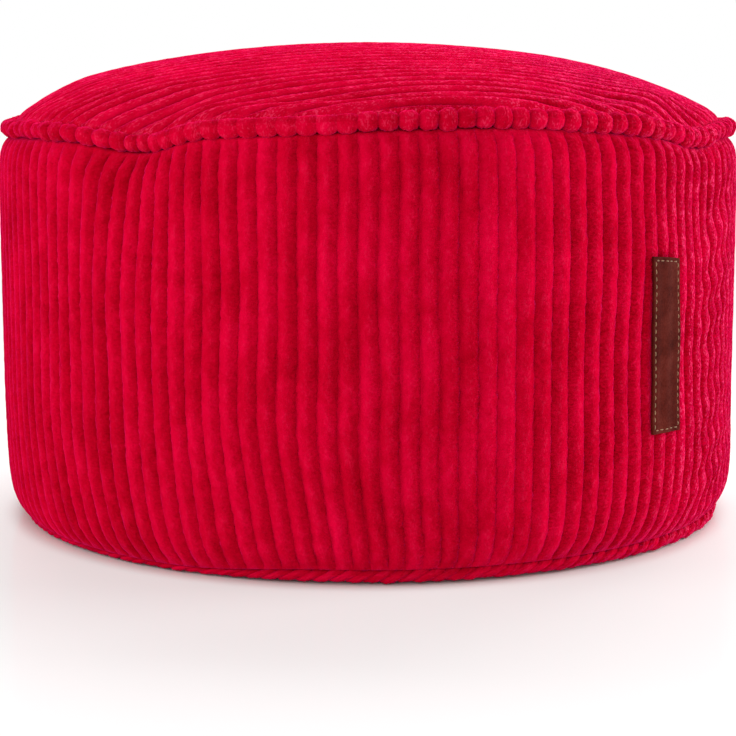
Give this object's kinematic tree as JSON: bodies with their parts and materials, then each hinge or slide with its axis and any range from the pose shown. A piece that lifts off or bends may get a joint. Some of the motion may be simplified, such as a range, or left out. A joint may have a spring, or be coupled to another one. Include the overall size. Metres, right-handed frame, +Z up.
{
  "type": "bean bag footstool",
  "caption": "Round drum-shaped bean bag footstool in wide-wale corduroy, with a crowned top panel, proud edge seams and a small upright leather patch.",
  "frame": {"origin": "on the floor, under the middle of the base panel", "axes": "+Z up, the footstool's shortest extent; -Y is the front, with the leather patch towards +X of it"},
  "size_m": [0.5005, 0.5, 0.3175],
  "materials": {
    "corduroy": "crimson wide-wale corduroy with a soft pile",
    "leather": "dark brown leather with a tan stitched border"
  },
  "bodies": {
    "root": {"side_band": "corduroy", "top_panel": "corduroy", "base_panel": "corduroy", "top_seam": "corduroy", "base_seam": "corduroy", "leather_patch": "leather"}
  },
  "joints": []
}
